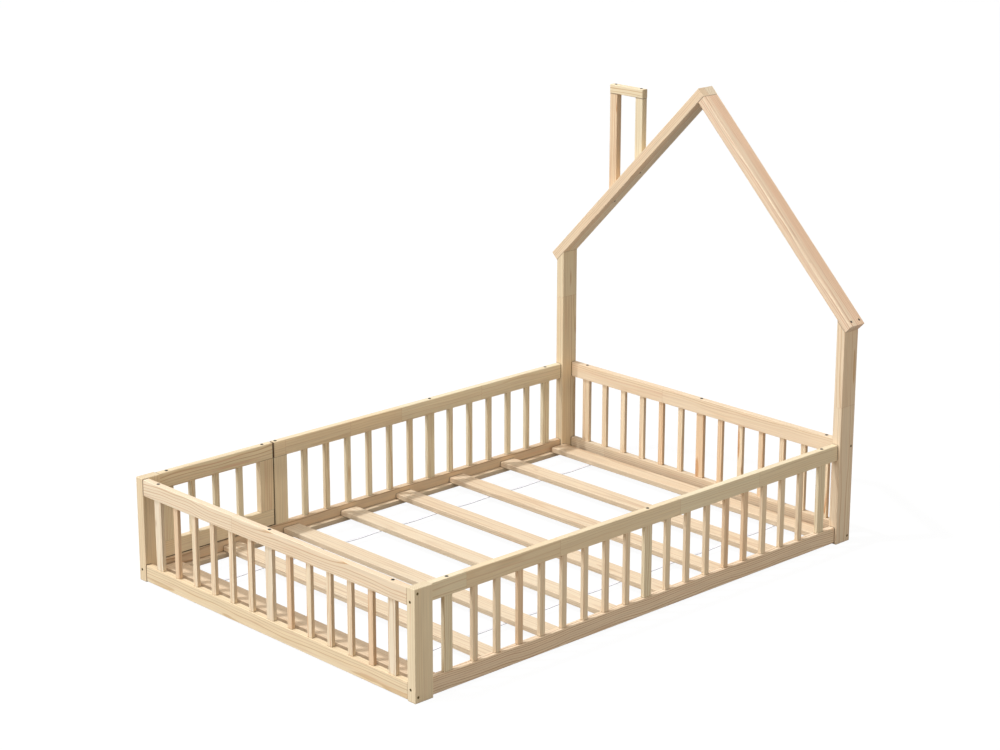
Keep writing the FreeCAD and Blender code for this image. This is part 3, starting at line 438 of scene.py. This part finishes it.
def pine(name, stock):
    """The pine of a board or of a row of bars."""
    material, tree, shader = new_material(name)
    pale, rosy, dark = [linear(colour) for colour in SHADES[stock.shade]]
    line_strength, pith_wander = FIGURES[stock.figure]
    seed = stock.seed

    # Places in the stock's own axes, and the number of the bar, length or strip there
    turn = Matrix((stock.grain, stock.flat, stock.grain.cross(stock.flat)))
    shift = -(turn @ stock.middle)
    place = add(tree, "TexCoord")
    board = add(tree, "Mapping", vector=place.outputs["Object"], location=shift, rotation=turn.to_euler())
    along, through, across = add(tree, "SeparateXYZ", vector=board).outputs
    if stock.row_pitch:
        count, across = number_bars(tree, stock, across)
        glue_lines = 0
    else:
        count, glue_lines = number_lengths(tree, stock, along, through)
    number = add(tree, "Math", {"operation": "MULTIPLY_ADD"}, i0=count, i1=NUMBER_STEP, i2=seed)
    luck = add(tree, "TexWhiteNoise", BY_NUMBER, w=number)

    # Patterns of the wood
    patches = along_grain(
        tree, "TexNoise", board, seed, PATCH_SHIFT, PATCH_LENGTH, PATCH_WIDTH, detail=PATCH_DETAIL
    )
    fibres = along_grain(
        tree, "TexNoise", board, seed, FIBRE_SHIFT, FIBRE_LENGTH, FIBRE_WIDTH, detail=FIBRE_DETAIL
    )
    section = add(tree, "CombineXYZ", y=through, z=across)
    radius = distance_from_pith(tree, along, section, number, luck, pith_wander)
    late_wood, line_share = growth_rings(tree, radius, patches, line_strength)

    # Colour: rosy patches, ring lines, streaks, fibres, knots, glue lines, painted joint shade, end grain,
    # painted crevice shade
    blush = rosy_bar_share(tree, count, stock.rosy_bars) if stock.row_pitch else luck
    rosiest = ROSIEST_BAR if stock.row_pitch else ROSIEST_BOARD
    rosiness = add(tree, "Math", {"operation": "ADD"}, i0=patches, i1=blush)
    rosy_share = add(tree, "MapRange", value=rosiness, from_min=ROSY_ABOVE, from_max=rosiest)
    colour = add(tree, "Mix", COLOUR_MIX, factor=rosy_share, a=pale, b=rosy)
    colour = add(tree, "Mix", COLOUR_MIX, factor=line_share, a=colour, b=dark)
    streaks = streak_share(tree, board, seed, line_strength)
    colour = add(tree, "Mix", COLOUR_MIX, factor=streaks, a=colour, b=linear(STREAK))
    colour = add(tree, "Mix", COLOUR_MULTIPLY, factor=1, a=colour, b=fibre_shade(tree, fibres))
    colour = add(tree, "Mix", COLOUR_MIX, factor=knot_share(tree, board, seed), a=colour, b=linear(KNOT))
    seam_share = add(tree, "Math", {"operation": "MULTIPLY"}, i0=glue_lines, i1=SEAM_STRENGTH)
    colour = add(tree, "Mix", COLOUR_MIX, factor=seam_share, a=colour, b=linear(SEAM))
    colour = joint_shaded(tree, colour, place, stock.joints)
    shade = end_and_crevice_shade(tree, place, stock.grain)
    colour = add(tree, "Mix", COLOUR_MULTIPLY, factor=1, a=colour, b=shade)

    # Surface: late wood is smoother than early wood, and stands out of it with the fibres
    roughness = add(tree, "MapRange", value=late_wood, to_min=PINE_ROUGHNESS, to_max=LATE_WOOD_ROUGHNESS)
    relief = add(tree, "Math", {"operation": "ADD"}, i0=fibres, i1=late_wood)
    bump = add(tree, "Bump", strength=GRAIN_BUMP, distance=GRAIN_DEPTH, height=relief)
    feed(tree, shader, base_color=colour, roughness=roughness, normal=bump, specular_ior_level=PINE_SPECULAR)
    return material


# Every board: its shade, its figure, its grain, the direction of its thickness
BOARDS = {
    "near_top_rail": ("straw", "quiet", LENGTHWISE, CROSSWISE),
    "near_bottom_rail": ("flame", "flamed", LENGTHWISE, CROSSWISE),
    "far_top_rail": ("straw", "quiet", LENGTHWISE, CROSSWISE),
    "far_bottom_rail": ("amber", "lined", LENGTHWISE, CROSSWISE),
    "foot_top_rail": ("cream", "flamed", CROSSWISE, LENGTHWISE),
    "foot_bottom_rail": ("straw", "lined", CROSSWISE, LENGTHWISE),
    "head_top_rail": ("cream", "lined", CROSSWISE, LENGTHWISE),
    "head_bottom_rail": ("sand", "lined", CROSSWISE, LENGTHWISE),
    "gate_top_rail": ("straw", "bold", LENGTHWISE, CROSSWISE),
    "gate_bottom_rail": ("straw", "quiet", LENGTHWISE, CROSSWISE),
    "far_end_stile": ("straw", "quiet", UPRIGHT, CROSSWISE),
    "gate_hinge_stile": ("straw", "lined", UPRIGHT, CROSSWISE),
    "gate_latch_stile": ("straw", "lined", UPRIGHT, CROSSWISE),
    "foot_post_near": ("straw", "quiet", UPRIGHT, CROSSWISE),
    "foot_post_far": ("straw", "quiet", UPRIGHT, CROSSWISE),
    "head_post_near": ("cream", "lined", UPRIGHT, CROSSWISE),
    "head_post_far": ("straw", "lined", UPRIGHT, CROSSWISE),
    "rafter_near": ("blush", "bold", NEAR_SLOPE, LENGTHWISE),
    "rafter_far": ("cream", "lined", FAR_SLOPE, LENGTHWISE),
    "chimney_inner_upright": ("straw", "lined", UPRIGHT, LENGTHWISE),
    "chimney_outer_upright": ("mixed", "flamed", UPRIGHT, LENGTHWISE),
    "chimney_cap": ("straw", "bold", CROSSWISE, LENGTHWISE),
    "near_ledger": ("sand", "quiet", LENGTHWISE, CROSSWISE),
    "far_ledger": ("sand", "quiet", LENGTHWISE, CROSSWISE),
}
SLATS = [f"slat_{number}" for number in range(1, 9)]
for slat in SLATS:
    BOARDS[slat] = ("sand", "fine", CROSSWISE, UPRIGHT)

# Finger joints that the photograph shows, by their place along the bed, across it or up it
SEAMS = {
    "near_top_rail": (-837 * MM, -422 * MM, 153 * MM, 562 * MM),
    "far_top_rail": (-422 * MM, -112 * MM, 141 * MM, 556 * MM),
    "foot_top_rail": (190 * MM,),
    "head_top_rail": (196 * MM,),
    "head_bottom_rail": (505 * MM,),
    "head_post_far": (661 * MM,),
    "head_post_near": (525 * MM,),
}

# Boards glued from two strips, by the place of the glue line from the board's middle
PLIES = {"rafter_near": -6 * MM, "rafter_far": -6 * MM}

# How strongly the painted shade line of a joint shows: as a shaded gap, as an open line or as a tight one
SHADED_JOINT = 2
OPEN_JOINT = 0.85
TIGHT_JOINT = 0.4

# The foot rails lie flush with their posts: at the far joint a broad line of painted shade stands for the
# shaded edge of the post, the near joint gets none
FOOT_RAILS = ("foot_top_rail", "foot_bottom_rail")
FOOT_SHADE_INSET = 2 * MM

# Boards whose two ends butt against another board
BUTTED = [node for node in BOARDS if node.endswith(("_rail", "_stile", "_upright"))]

# Each head post carries a rafter, whose upper face looks in the direction given
RAFTER_ON = {
    "head_post_near": ("rafter_near", LENGTHWISE.cross(NEAR_SLOPE)),
    "head_post_far": ("rafter_far", FAR_SLOPE.cross(LENGTHWISE)),
}


def joints_of(node, grain):
    """The planes where a board meets the next one, each with the strength of its line of painted shade."""
    start, end = reach_of(node, grain)
    if node in FOOT_RAILS:
        return [(grain, end - FOOT_SHADE_INSET, SHADED_JOINT)]
    if node in BUTTED:
        return [(grain, start, OPEN_JOINT), (grain, end, OPEN_JOINT)]

    # The near rafter butts under the far one with its upper end alone
    if node == "rafter_near":
        return [(grain, end, OPEN_JOINT)]
    if node in RAFTER_ON:
        rafter, upward = RAFTER_ON[node]
        return [(upward, reach_of(rafter, upward)[0], TIGHT_JOINT)]
    return []


def finish_boards():
    for seed, (node, (shade, figure, grain, flat)) in enumerate(BOARDS.items(), start=1):
        middle = middle_of(node)
        seams = [place - middle.dot(grain) for place in SEAMS.get(node, ())]
        stock = Stock(
            shade,
            figure,
            grain,
            flat,
            middle,
            seed,
            seams=tuple(seams),
            ply=PLIES.get(node),
            joints=tuple(joints_of(node, grain)),
        )
        dress(node, pine("pine_" + node, stock))


# Every row of bars: its shade, its figure, the direction in which it runs, its steps from first bar to last.
# A thick bar between thin ones takes a place in their row
ROWS = {
    "near_balusters": ("mixed", "quiet", LENGTHWISE, 16),
    "far_balusters": ("straw", "lined", LENGTHWISE, 11),
    "gate_balusters": ("straw", "lined", LENGTHWISE, 2),
    "foot_balusters": ("mixed", "lined", CROSSWISE, 10),
    "head_balusters": ("mixed", "lined", CROSSWISE, 10),
    "near_thick_bars": ("straw", "lined", LENGTHWISE, 2),
    "far_thick_bars": ("straw", "lined", LENGTHWISE, 1),
    "foot_thick_bars": ("cream", "lined", CROSSWISE, 2),
    "head_thick_bars": ("mixed", "bold", CROSSWISE, 2),
}
ROSY_BARS = {
    "foot_balusters": (0, 4, 10),
    "head_balusters": (2, 4, 7),
    "head_thick_bars": (1,),
    "near_balusters": (2, 12, 13),
    "far_balusters": (1, 5),
}
BALUSTER_WIDTH = 23 * MM
THICK_BAR_WIDTH = 36 * MM
FIRST_ROW_SEED = 101


def finish_bars():
    for seed, (node, (shade, figure, run, steps)) in enumerate(ROWS.items(), start=FIRST_ROW_SEED):
        width = THICK_BAR_WIDTH if "thick" in node else BALUSTER_WIDTH
        flat = CROSSWISE if run == LENGTHWISE else LENGTHWISE
        low, high = [Vector(corner).dot(run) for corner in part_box(node)]
        middle = middle_of(node)
        first = middle + run * (low + width / 2 - middle.dot(run))
        stock = Stock(
            shade,
            figure,
            UPRIGHT,
            flat,
            first,
            seed,
            row_pitch=(high - low - width) / steps,
            rosy_bars=ROSY_BARS.get(node, ()),
        )
        dress(node, pine("pine_" + node, stock))


finish_boards()
finish_bars()


def speckled(name, colours, speck, detail, roughness):
    """A material whose colour and roughness vary from speck to speck, and its shader."""
    material, tree, shader = new_material(name)
    first, second = [linear(colour) for colour in colours]
    smoothest, roughest = roughness
    place = add(tree, "TexCoord")
    specks = add(tree, "TexNoise", vector=place.outputs["Object"], scale=1 / speck, detail=detail)
    colour = add(tree, "Mix", COLOUR_MIX, factor=specks, a=first, b=second)
    surface = add(tree, "MapRange", value=specks, to_min=smoothest, to_max=roughest)
    feed(tree, shader, base_color=colour, roughness=surface)
    return material, shader


# Steel of the wood screws under a thin matt black lacquer: dark, with a dull broad sheen and worn specks
LACQUER_SPECULAR = 0.25


def black_lacquered_steel():
    material, shader = speckled(
        "black_lacquered_steel", ("#1B1A19", "#3A3733"), speck=1.5 * MM, detail=2, roughness=(0.45, 0.65)
    )
    shader.inputs["Specular IOR Level"].default_value = LACQUER_SPECULAR
    return material


# Steel of the sunk bolts, browned in hot oil: a dull olive brown with a soft broad sheen
def browned_steel():
    material, shader = speckled(
        "browned_steel", ("#5E5034", "#8C7A50"), speck=2 * MM, detail=2, roughness=(0.4, 0.6)
    )
    shader.inputs["Metallic"].default_value = 1
    return material


# Zinc-plated steel of the hinges, catch and barrel nuts: pale grey, dull, slightly uneven
def zinc_plated_steel():
    material, shader = speckled(
        "zinc_plated_steel", ("#757775", "#A2A4A1"), speck=4 * MM, detail=3, roughness=(0.38, 0.58)
    )
    shader.inputs["Metallic"].default_value = 1
    return material


ZINC_PIECES = (
    "side_barrel_nuts",
    "end_barrel_nuts",
    "hinge_pins",
    "hinge_post_screws",
    "hinge_gate_screws",
    "upper_hinge_post_leaf",
    "lower_hinge_post_leaf",
    "upper_hinge_gate_leaf",
    "lower_hinge_gate_leaf",
    "catch_striker",
    "catch_magnet",
)

# Corners closer than this are one corner, and corners this close to the top lie on it
WELD = 0.01 * MM
FLUSH = 0.1 * MM

# Furniture screws of the rail tops: a low dome that stands on the rail, a hexagonal socket, a pointed shank
DOME_RADIUS = 6.2 * MM
DOME_EDGE = 0.4 * MM
DOME_HEIGHT = 1.7 * MM
SHOULDER_RADIUS = 0.85 * DOME_RADIUS
SHOULDER_HEIGHT = 0.75 * DOME_HEIGHT
SOCKET_RIM = 2.7 * MM
SOCKET_RADIUS = 2.3 * MM
SOCKET_DEPTH = 1.3 * MM
SOCKET_SIDES = 6
SHANK_RADIUS = 2.5 * MM
POINT_LENGTH = 8 * MM
TURN_STEPS = 24


def domed_screw(length):
    """One screw with its dome on the plane z = 0 and its shank down."""
    profile = (
        (0, -length),
        (SHANK_RADIUS, POINT_LENGTH - length),
        (SHANK_RADIUS, 0),
        (DOME_RADIUS, 0),
        (DOME_RADIUS, DOME_EDGE),
        (SHOULDER_RADIUS, SHOULDER_HEIGHT),
        (SOCKET_RIM, DOME_HEIGHT),
    )
    shape = bmesh.new()
    corners = [shape.verts.new((radius, 0, height)) for radius, height in profile]
    edges = [shape.edges.new(pair) for pair in zip(corners[:-1], corners[1:])]
    bmesh.ops.spin(
        shape, geom=corners + edges, axis=UPRIGHT, angle=math.tau, steps=TURN_STEPS, use_merge=True
    )
    bmesh.ops.remove_doubles(shape, verts=shape.verts, dist=WELD)
    rim = [edge for edge in shape.edges if edge.is_boundary]
    hexagon = bmesh.ops.create_circle(shape, segments=SOCKET_SIDES, radius=SOCKET_RADIUS)["verts"]
    bmesh.ops.translate(shape, verts=hexagon, vec=UPRIGHT * DOME_HEIGHT)
    sides = list({edge for vert in hexagon for edge in vert.link_edges})
    bmesh.ops.bridge_loops(shape, edges=rim + sides)
    walls = bmesh.ops.extrude_edge_only(shape, edges=sides)["geom"]
    foot = [item for item in walls if isinstance(item, bmesh.types.BMVert)]
    bmesh.ops.translate(shape, verts=foot, vec=-UPRIGHT * SOCKET_DEPTH)
    bmesh.ops.contextual_create(shape, geom=foot)
    bmesh.ops.recalc_face_normals(shape, faces=shape.faces)
    mesh = bpy.data.meshes.new("domed_screw")
    shape.to_mesh(mesh)
    shape.free()
    return mesh


def head_places(node):
    """The middle of each screw head of a node, along the bed and across it."""
    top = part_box(node)[1][2]
    rims = [vert.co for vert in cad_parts[node].data.vertices if top - vert.co.z < FLUSH]
    places = []
    while rims:
        own = [rim for rim in rims if (rim - rims[0]).length < 2 * DOME_RADIUS]
        rims = [rim for rim in rims if (rim - rims[0]).length >= 2 * DOME_RADIUS]
        lengthwise = [rim.x for rim in own]
        crosswise = [rim.y for rim in own]
        x = (min(lengthwise) + max(lengthwise)) / 2
        y = (min(crosswise) + max(crosswise)) / 2
        places.append((x, y))
    return places


def rail_screws(node, rail, body, material):
    """Domed screws in place of a node's plain ones, on the top of a rail."""
    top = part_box(rail)[1][2]
    one = domed_screw(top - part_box(node)[0][2])
    shape = bmesh.new()
    for x, y in head_places(node):
        known = len(shape.verts)
        shape.from_mesh(one)
        shape.verts.ensure_lookup_table()
        bmesh.ops.translate(shape, verts=shape.verts[known:], vec=(x, y, top))
    stand_in(shape, node, "_domed", body, material)


# Bolts of the posts and screws of the chimney: longer heads than the solids have, each with a socket.
# The bolts' heads reach nearly to the surface, and the chimney's stand out of the cap and the sloping rafter
BOLT_HEAD_RISE = 5 * MM
RAFTER_HEAD_RISE = 8 * MM
CAP_HEAD_RISE = 2 * MM
HEAD_RIM = 1.8 * MM
HEAD_SOCKET_TAPER = 0.2 * MM
HEAD_SOCKET_DEPTH = 2.5 * MM
STRAIGHT_ON = 0.99


def head_faces(shape, node, outward):
    """The faces of the heads that look outward, in the outer half of the node."""
    middle = middle_of(node)
    looking = [face for face in shape.faces if face.normal.dot(outward) > STRAIGHT_ON]
    return [face for face in looking if (face.calc_center_median() - middle).dot(outward) > 0]


def raised_heads(node, rises, material):
    """The bolts or screws of a node with longer heads, by the ways in which these look and their rises."""
    shape = bmesh.new()
    shape.from_mesh(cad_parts[node].data)
    bmesh.ops.remove_doubles(shape, verts=shape.verts, dist=WELD)
    for outward, rise in rises:
        faces = head_faces(shape, node, outward)
        corners = list({vert for face in faces for vert in face.verts})
        bmesh.ops.translate(shape, verts=corners, vec=outward * rise)
        bmesh.ops.inset_region(shape, faces=faces, thickness=HEAD_RIM)
        bmesh.ops.inset_region(shape, faces=faces, thickness=HEAD_SOCKET_TAPER, depth=-HEAD_SOCKET_DEPTH)
    bmesh.ops.recalc_face_normals(shape, faces=shape.faces)
    stand_in(shape, node, "_raised", "bed_frame", material)


black_steel = black_lacquered_steel()
browned = browned_steel()
zinc = zinc_plated_steel()
dress("rafter_screws", black_steel)
for node in ZINC_PIECES:
    dress(node, zinc)
raised_heads("side_bolts", ((LENGTHWISE, BOLT_HEAD_RISE), (-LENGTHWISE, BOLT_HEAD_RISE)), browned)
raised_heads("end_bolts", ((CROSSWISE, BOLT_HEAD_RISE), (-CROSSWISE, BOLT_HEAD_RISE)), browned)
raised_heads("chimney_screws", ((UPRIGHT, CAP_HEAD_RISE), (-UPRIGHT, RAFTER_HEAD_RISE)), black_steel)
rail_screws("bar_screws", "near_top_rail", "bed_frame", black_steel)
rail_screws("gate_screws", "gate_top_rail", "gate", black_steel)


# Woven polypropylene webbing: white ribs across the strap, painted shade that greys its side faces, soft
# sheen
WEBBING_FACE = ("#E9E8EF", "#FAFAFC")
WEBBING_SIDE_SHADE = "#8C8C9C"
WEBBING_ROUGHNESS = 0.7
RIB_SPACING = 3 * MM
RIB_WAVER = 0.6
RIB_BUMP = 0.4
RIB_DEPTH = 0.3 * MM

# The wave texture multiplies places by this before it takes the sine
WAVE_FACTOR = 20


def woven_webbing():
    material, tree, shader = new_material("woven_polypropylene_webbing")
    hollow, crest = [linear(colour) for colour in WEBBING_FACE]
    place = add(tree, "TexCoord")
    wave = add(
        tree,
        "TexWave",
        {"wave_type": "BANDS", "bands_direction": "X"},
        vector=place.outputs["Object"],
        scale=math.tau / WAVE_FACTOR / RIB_SPACING,
        distortion=RIB_WAVER,
    )
    ribs = wave.outputs["Fac"]
    face = add(tree, "Mix", COLOUR_MIX, factor=ribs, a=hollow, b=crest)
    # Painted shade: the faces that look across the bed, the strap's sides, take the grey
    looking = add(tree, "SeparateXYZ", vector=place.outputs["Normal"])
    edge = add(tree, "Math", {"operation": "ABSOLUTE"}, i0=looking.outputs["Y"])
    colour = add(tree, "Mix", COLOUR_MIX, factor=edge, a=face, b=linear(WEBBING_SIDE_SHADE))
    bump = add(tree, "Bump", strength=RIB_BUMP, distance=RIB_DEPTH, height=ribs)
    feed(tree, shader, base_color=colour, normal=bump, roughness=WEBBING_ROUGHNESS)
    return material


STRAP_SAG = 2.5 * MM
STRAP_CUTS_PER_GAP = 12


def strap(node, material):
    """A flat strap under the slats that sags a little in each gap between two of them."""
    low, high = [Vector(corner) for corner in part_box(node)]
    size = high - low
    shape = bmesh.new()
    bmesh.ops.create_cube(shape, size=1)
    bmesh.ops.scale(shape, verts=shape.verts, vec=size)
    bmesh.ops.translate(shape, verts=shape.verts, vec=(low + high) / 2)
    lengthwise = [edge for edge in shape.edges if abs(edge.verts[0].co.x - edge.verts[1].co.x) > size.x / 2]
    cuts = STRAP_CUTS_PER_GAP * (len(SLATS) - 1)
    bmesh.ops.subdivide_edges(shape, edges=lengthwise, cuts=cuts, use_grid_fill=True)
    for nearer, further in zip(SLATS[:-1], SLATS[1:]):
        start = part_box(nearer)[1][0]
        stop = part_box(further)[0][0]
        for vert in shape.verts:
            share = (vert.co.x - start) / (stop - start)
            if 0 < share < 1:
                vert.co.z -= STRAP_SAG * math.sin(math.pi * share) ** 2
    stand_in(shape, node, "_webbing", "bed_frame", material)


webbing = woven_webbing()
for node in ("near_strap", "far_strap"):
    strap(node, webbing)


# White floor that keeps a faint shadow, and a white world behind it
FLOOR_SIZE = 120
FLOOR_BOUNCE = "#85807A"
FLOOR_SHADOW_SHARE = 0.08
FLOOR_GLOW = 1.03
WORLD_STRENGTH = 0.2
WORLD_TINT = "#FFFAF0"


def seen_directly(tree):
    """1 where the camera, a reflection or a see-through surface looks at the stage, else 0."""
    rays = add(tree, "LightPath")
    seen = rays.outputs["Is Camera Ray"]
    for ray in ("Is Glossy Ray", "Is Transmission Ray"):
        seen = add(tree, "Math", {"operation": "MAXIMUM"}, i0=seen, i1=rays.outputs[ray])
    return seen


def lay_floor():
    shape = bmesh.new()
    bmesh.ops.create_grid(shape, x_segments=1, y_segments=1, size=FLOOR_SIZE / 2)
    floor = bpy.data.objects.new("floor", bpy.data.meshes.new("floor"))
    shape.to_mesh(floor.data)
    shape.free()
    material, tree, shader = new_material("white_studio_floor")
    tree.nodes.remove(shader)
    bounce = add(tree, "BsdfDiffuse", color=linear(FLOOR_BOUNCE))
    white = add(tree, "Emission", strength=FLOOR_GLOW)
    shaded = add(tree, "BsdfDiffuse", color=WHITE)
    visible = add(tree, "MixShader", i0=FLOOR_SHADOW_SHARE, i1=white, i2=shaded)
    either = add(tree, "MixShader", i0=seen_directly(tree), i1=bounce, i2=visible)
    feed(tree, tree.nodes["Material Output"], surface=either)
    floor.data.materials.append(material)
    bpy.context.scene.collection.objects.link(floor)


def light_world():
    world = bpy.data.worlds.new("white_studio")
    world.use_nodes = True
    tree = world.node_tree
    seen = seen_directly(tree)
    strength = add(tree, "MapRange", value=seen, to_min=WORLD_STRENGTH, to_max=1)
    tint = add(tree, "Mix", COLOUR_MIX, factor=seen, a=linear(WORLD_TINT), b=WHITE)
    feed(tree, tree.nodes["Background"], color=tint, strength=strength)
    bpy.context.scene.world = world


# Lamps: a high sun from the far foot corner for the crisp shadows, soft boxes at the foot end and overhead,
# and a low fill along the near side
LAMP_AIM = Vector((0, 0, 0.4))
SUN_TOWARDS = Vector((-0.352, 0.248, 0.903))
SUN_DISTANCE = 8

# A sun of strength pi lights a white face that looks at it to full white, and this one gives a share of that
SUN_SHARE = 0.56
SUN_SPREAD = math.radians(2.5)
SUN_TINT = "#F7FBFF"

# Each soft box: its place, its width and height, its watts, its tint
SOFT_BOXES = {
    "foot_softbox": (Vector((-14, 1.2, 6)), (12, 8), 1250, "#FFFFFF"),
    "overhead_softbox": (Vector((0, 0.5, 6)), (5, 5), 120, "#FFFFFF"),
    "near_fill": (Vector((0, -16, 0.9)), (4, 1.2), 475, "#FFF6E8"),
}


def lamp(name, kind, place, energy, tint, **settings):
    light = bpy.data.lights.new(name, kind)
    light.energy = energy
    light.color = linear(tint)[:3]
    for key, value in settings.items():
        setattr(light, key, value)
    holder = bpy.data.objects.new(name, light)
    holder.location = place
    holder.rotation_euler = (LAMP_AIM - place).to_track_quat("-Z", "Y").to_euler()
    holder.visible_camera = False
    bpy.context.scene.collection.objects.link(holder)


def light_studio():
    sun_place = LAMP_AIM + SUN_TOWARDS * SUN_DISTANCE
    lamp("sun", "SUN", sun_place, SUN_SHARE * math.pi, SUN_TINT, angle=SUN_SPREAD)
    for name, (place, (width, height), watts, tint) in SOFT_BOXES.items():
        lamp(name, "AREA", place, watts, tint, shape="RECTANGLE", size=width, size_y=height)


# Camera, solved from the straight edges of the bed in the photograph
CAMERA_PLACE = Vector((-5.7776, -6.0833, 3.2212))
CAMERA_HEADING = math.radians(46.541)
CAMERA_DIP = math.radians(16.772)
CAMERA_ROLL = math.radians(0.079)
CAMERA_LENS_MM = 89.564
SENSOR_WIDTH_MM = 36


def place_camera():
    data = bpy.data.cameras.new("camera")
    data.sensor_fit = "HORIZONTAL"
    data.sensor_width = SENSOR_WIDTH_MM
    data.lens = CAMERA_LENS_MM
    camera = bpy.data.objects.new("camera", data)
    camera.location = CAMERA_PLACE
    aim = Euler((math.pi / 2 - CAMERA_DIP, 0, CAMERA_HEADING - math.pi / 2)).to_matrix()
    camera.rotation_euler = (aim @ Matrix.Rotation(CAMERA_ROLL, 3, "Z")).to_euler()
    bpy.context.scene.collection.objects.link(camera)
    bpy.context.scene.camera = camera


lay_floor()
light_world()
light_studio()
place_camera()
bpy.context.scene.view_settings.view_transform = "Standard"
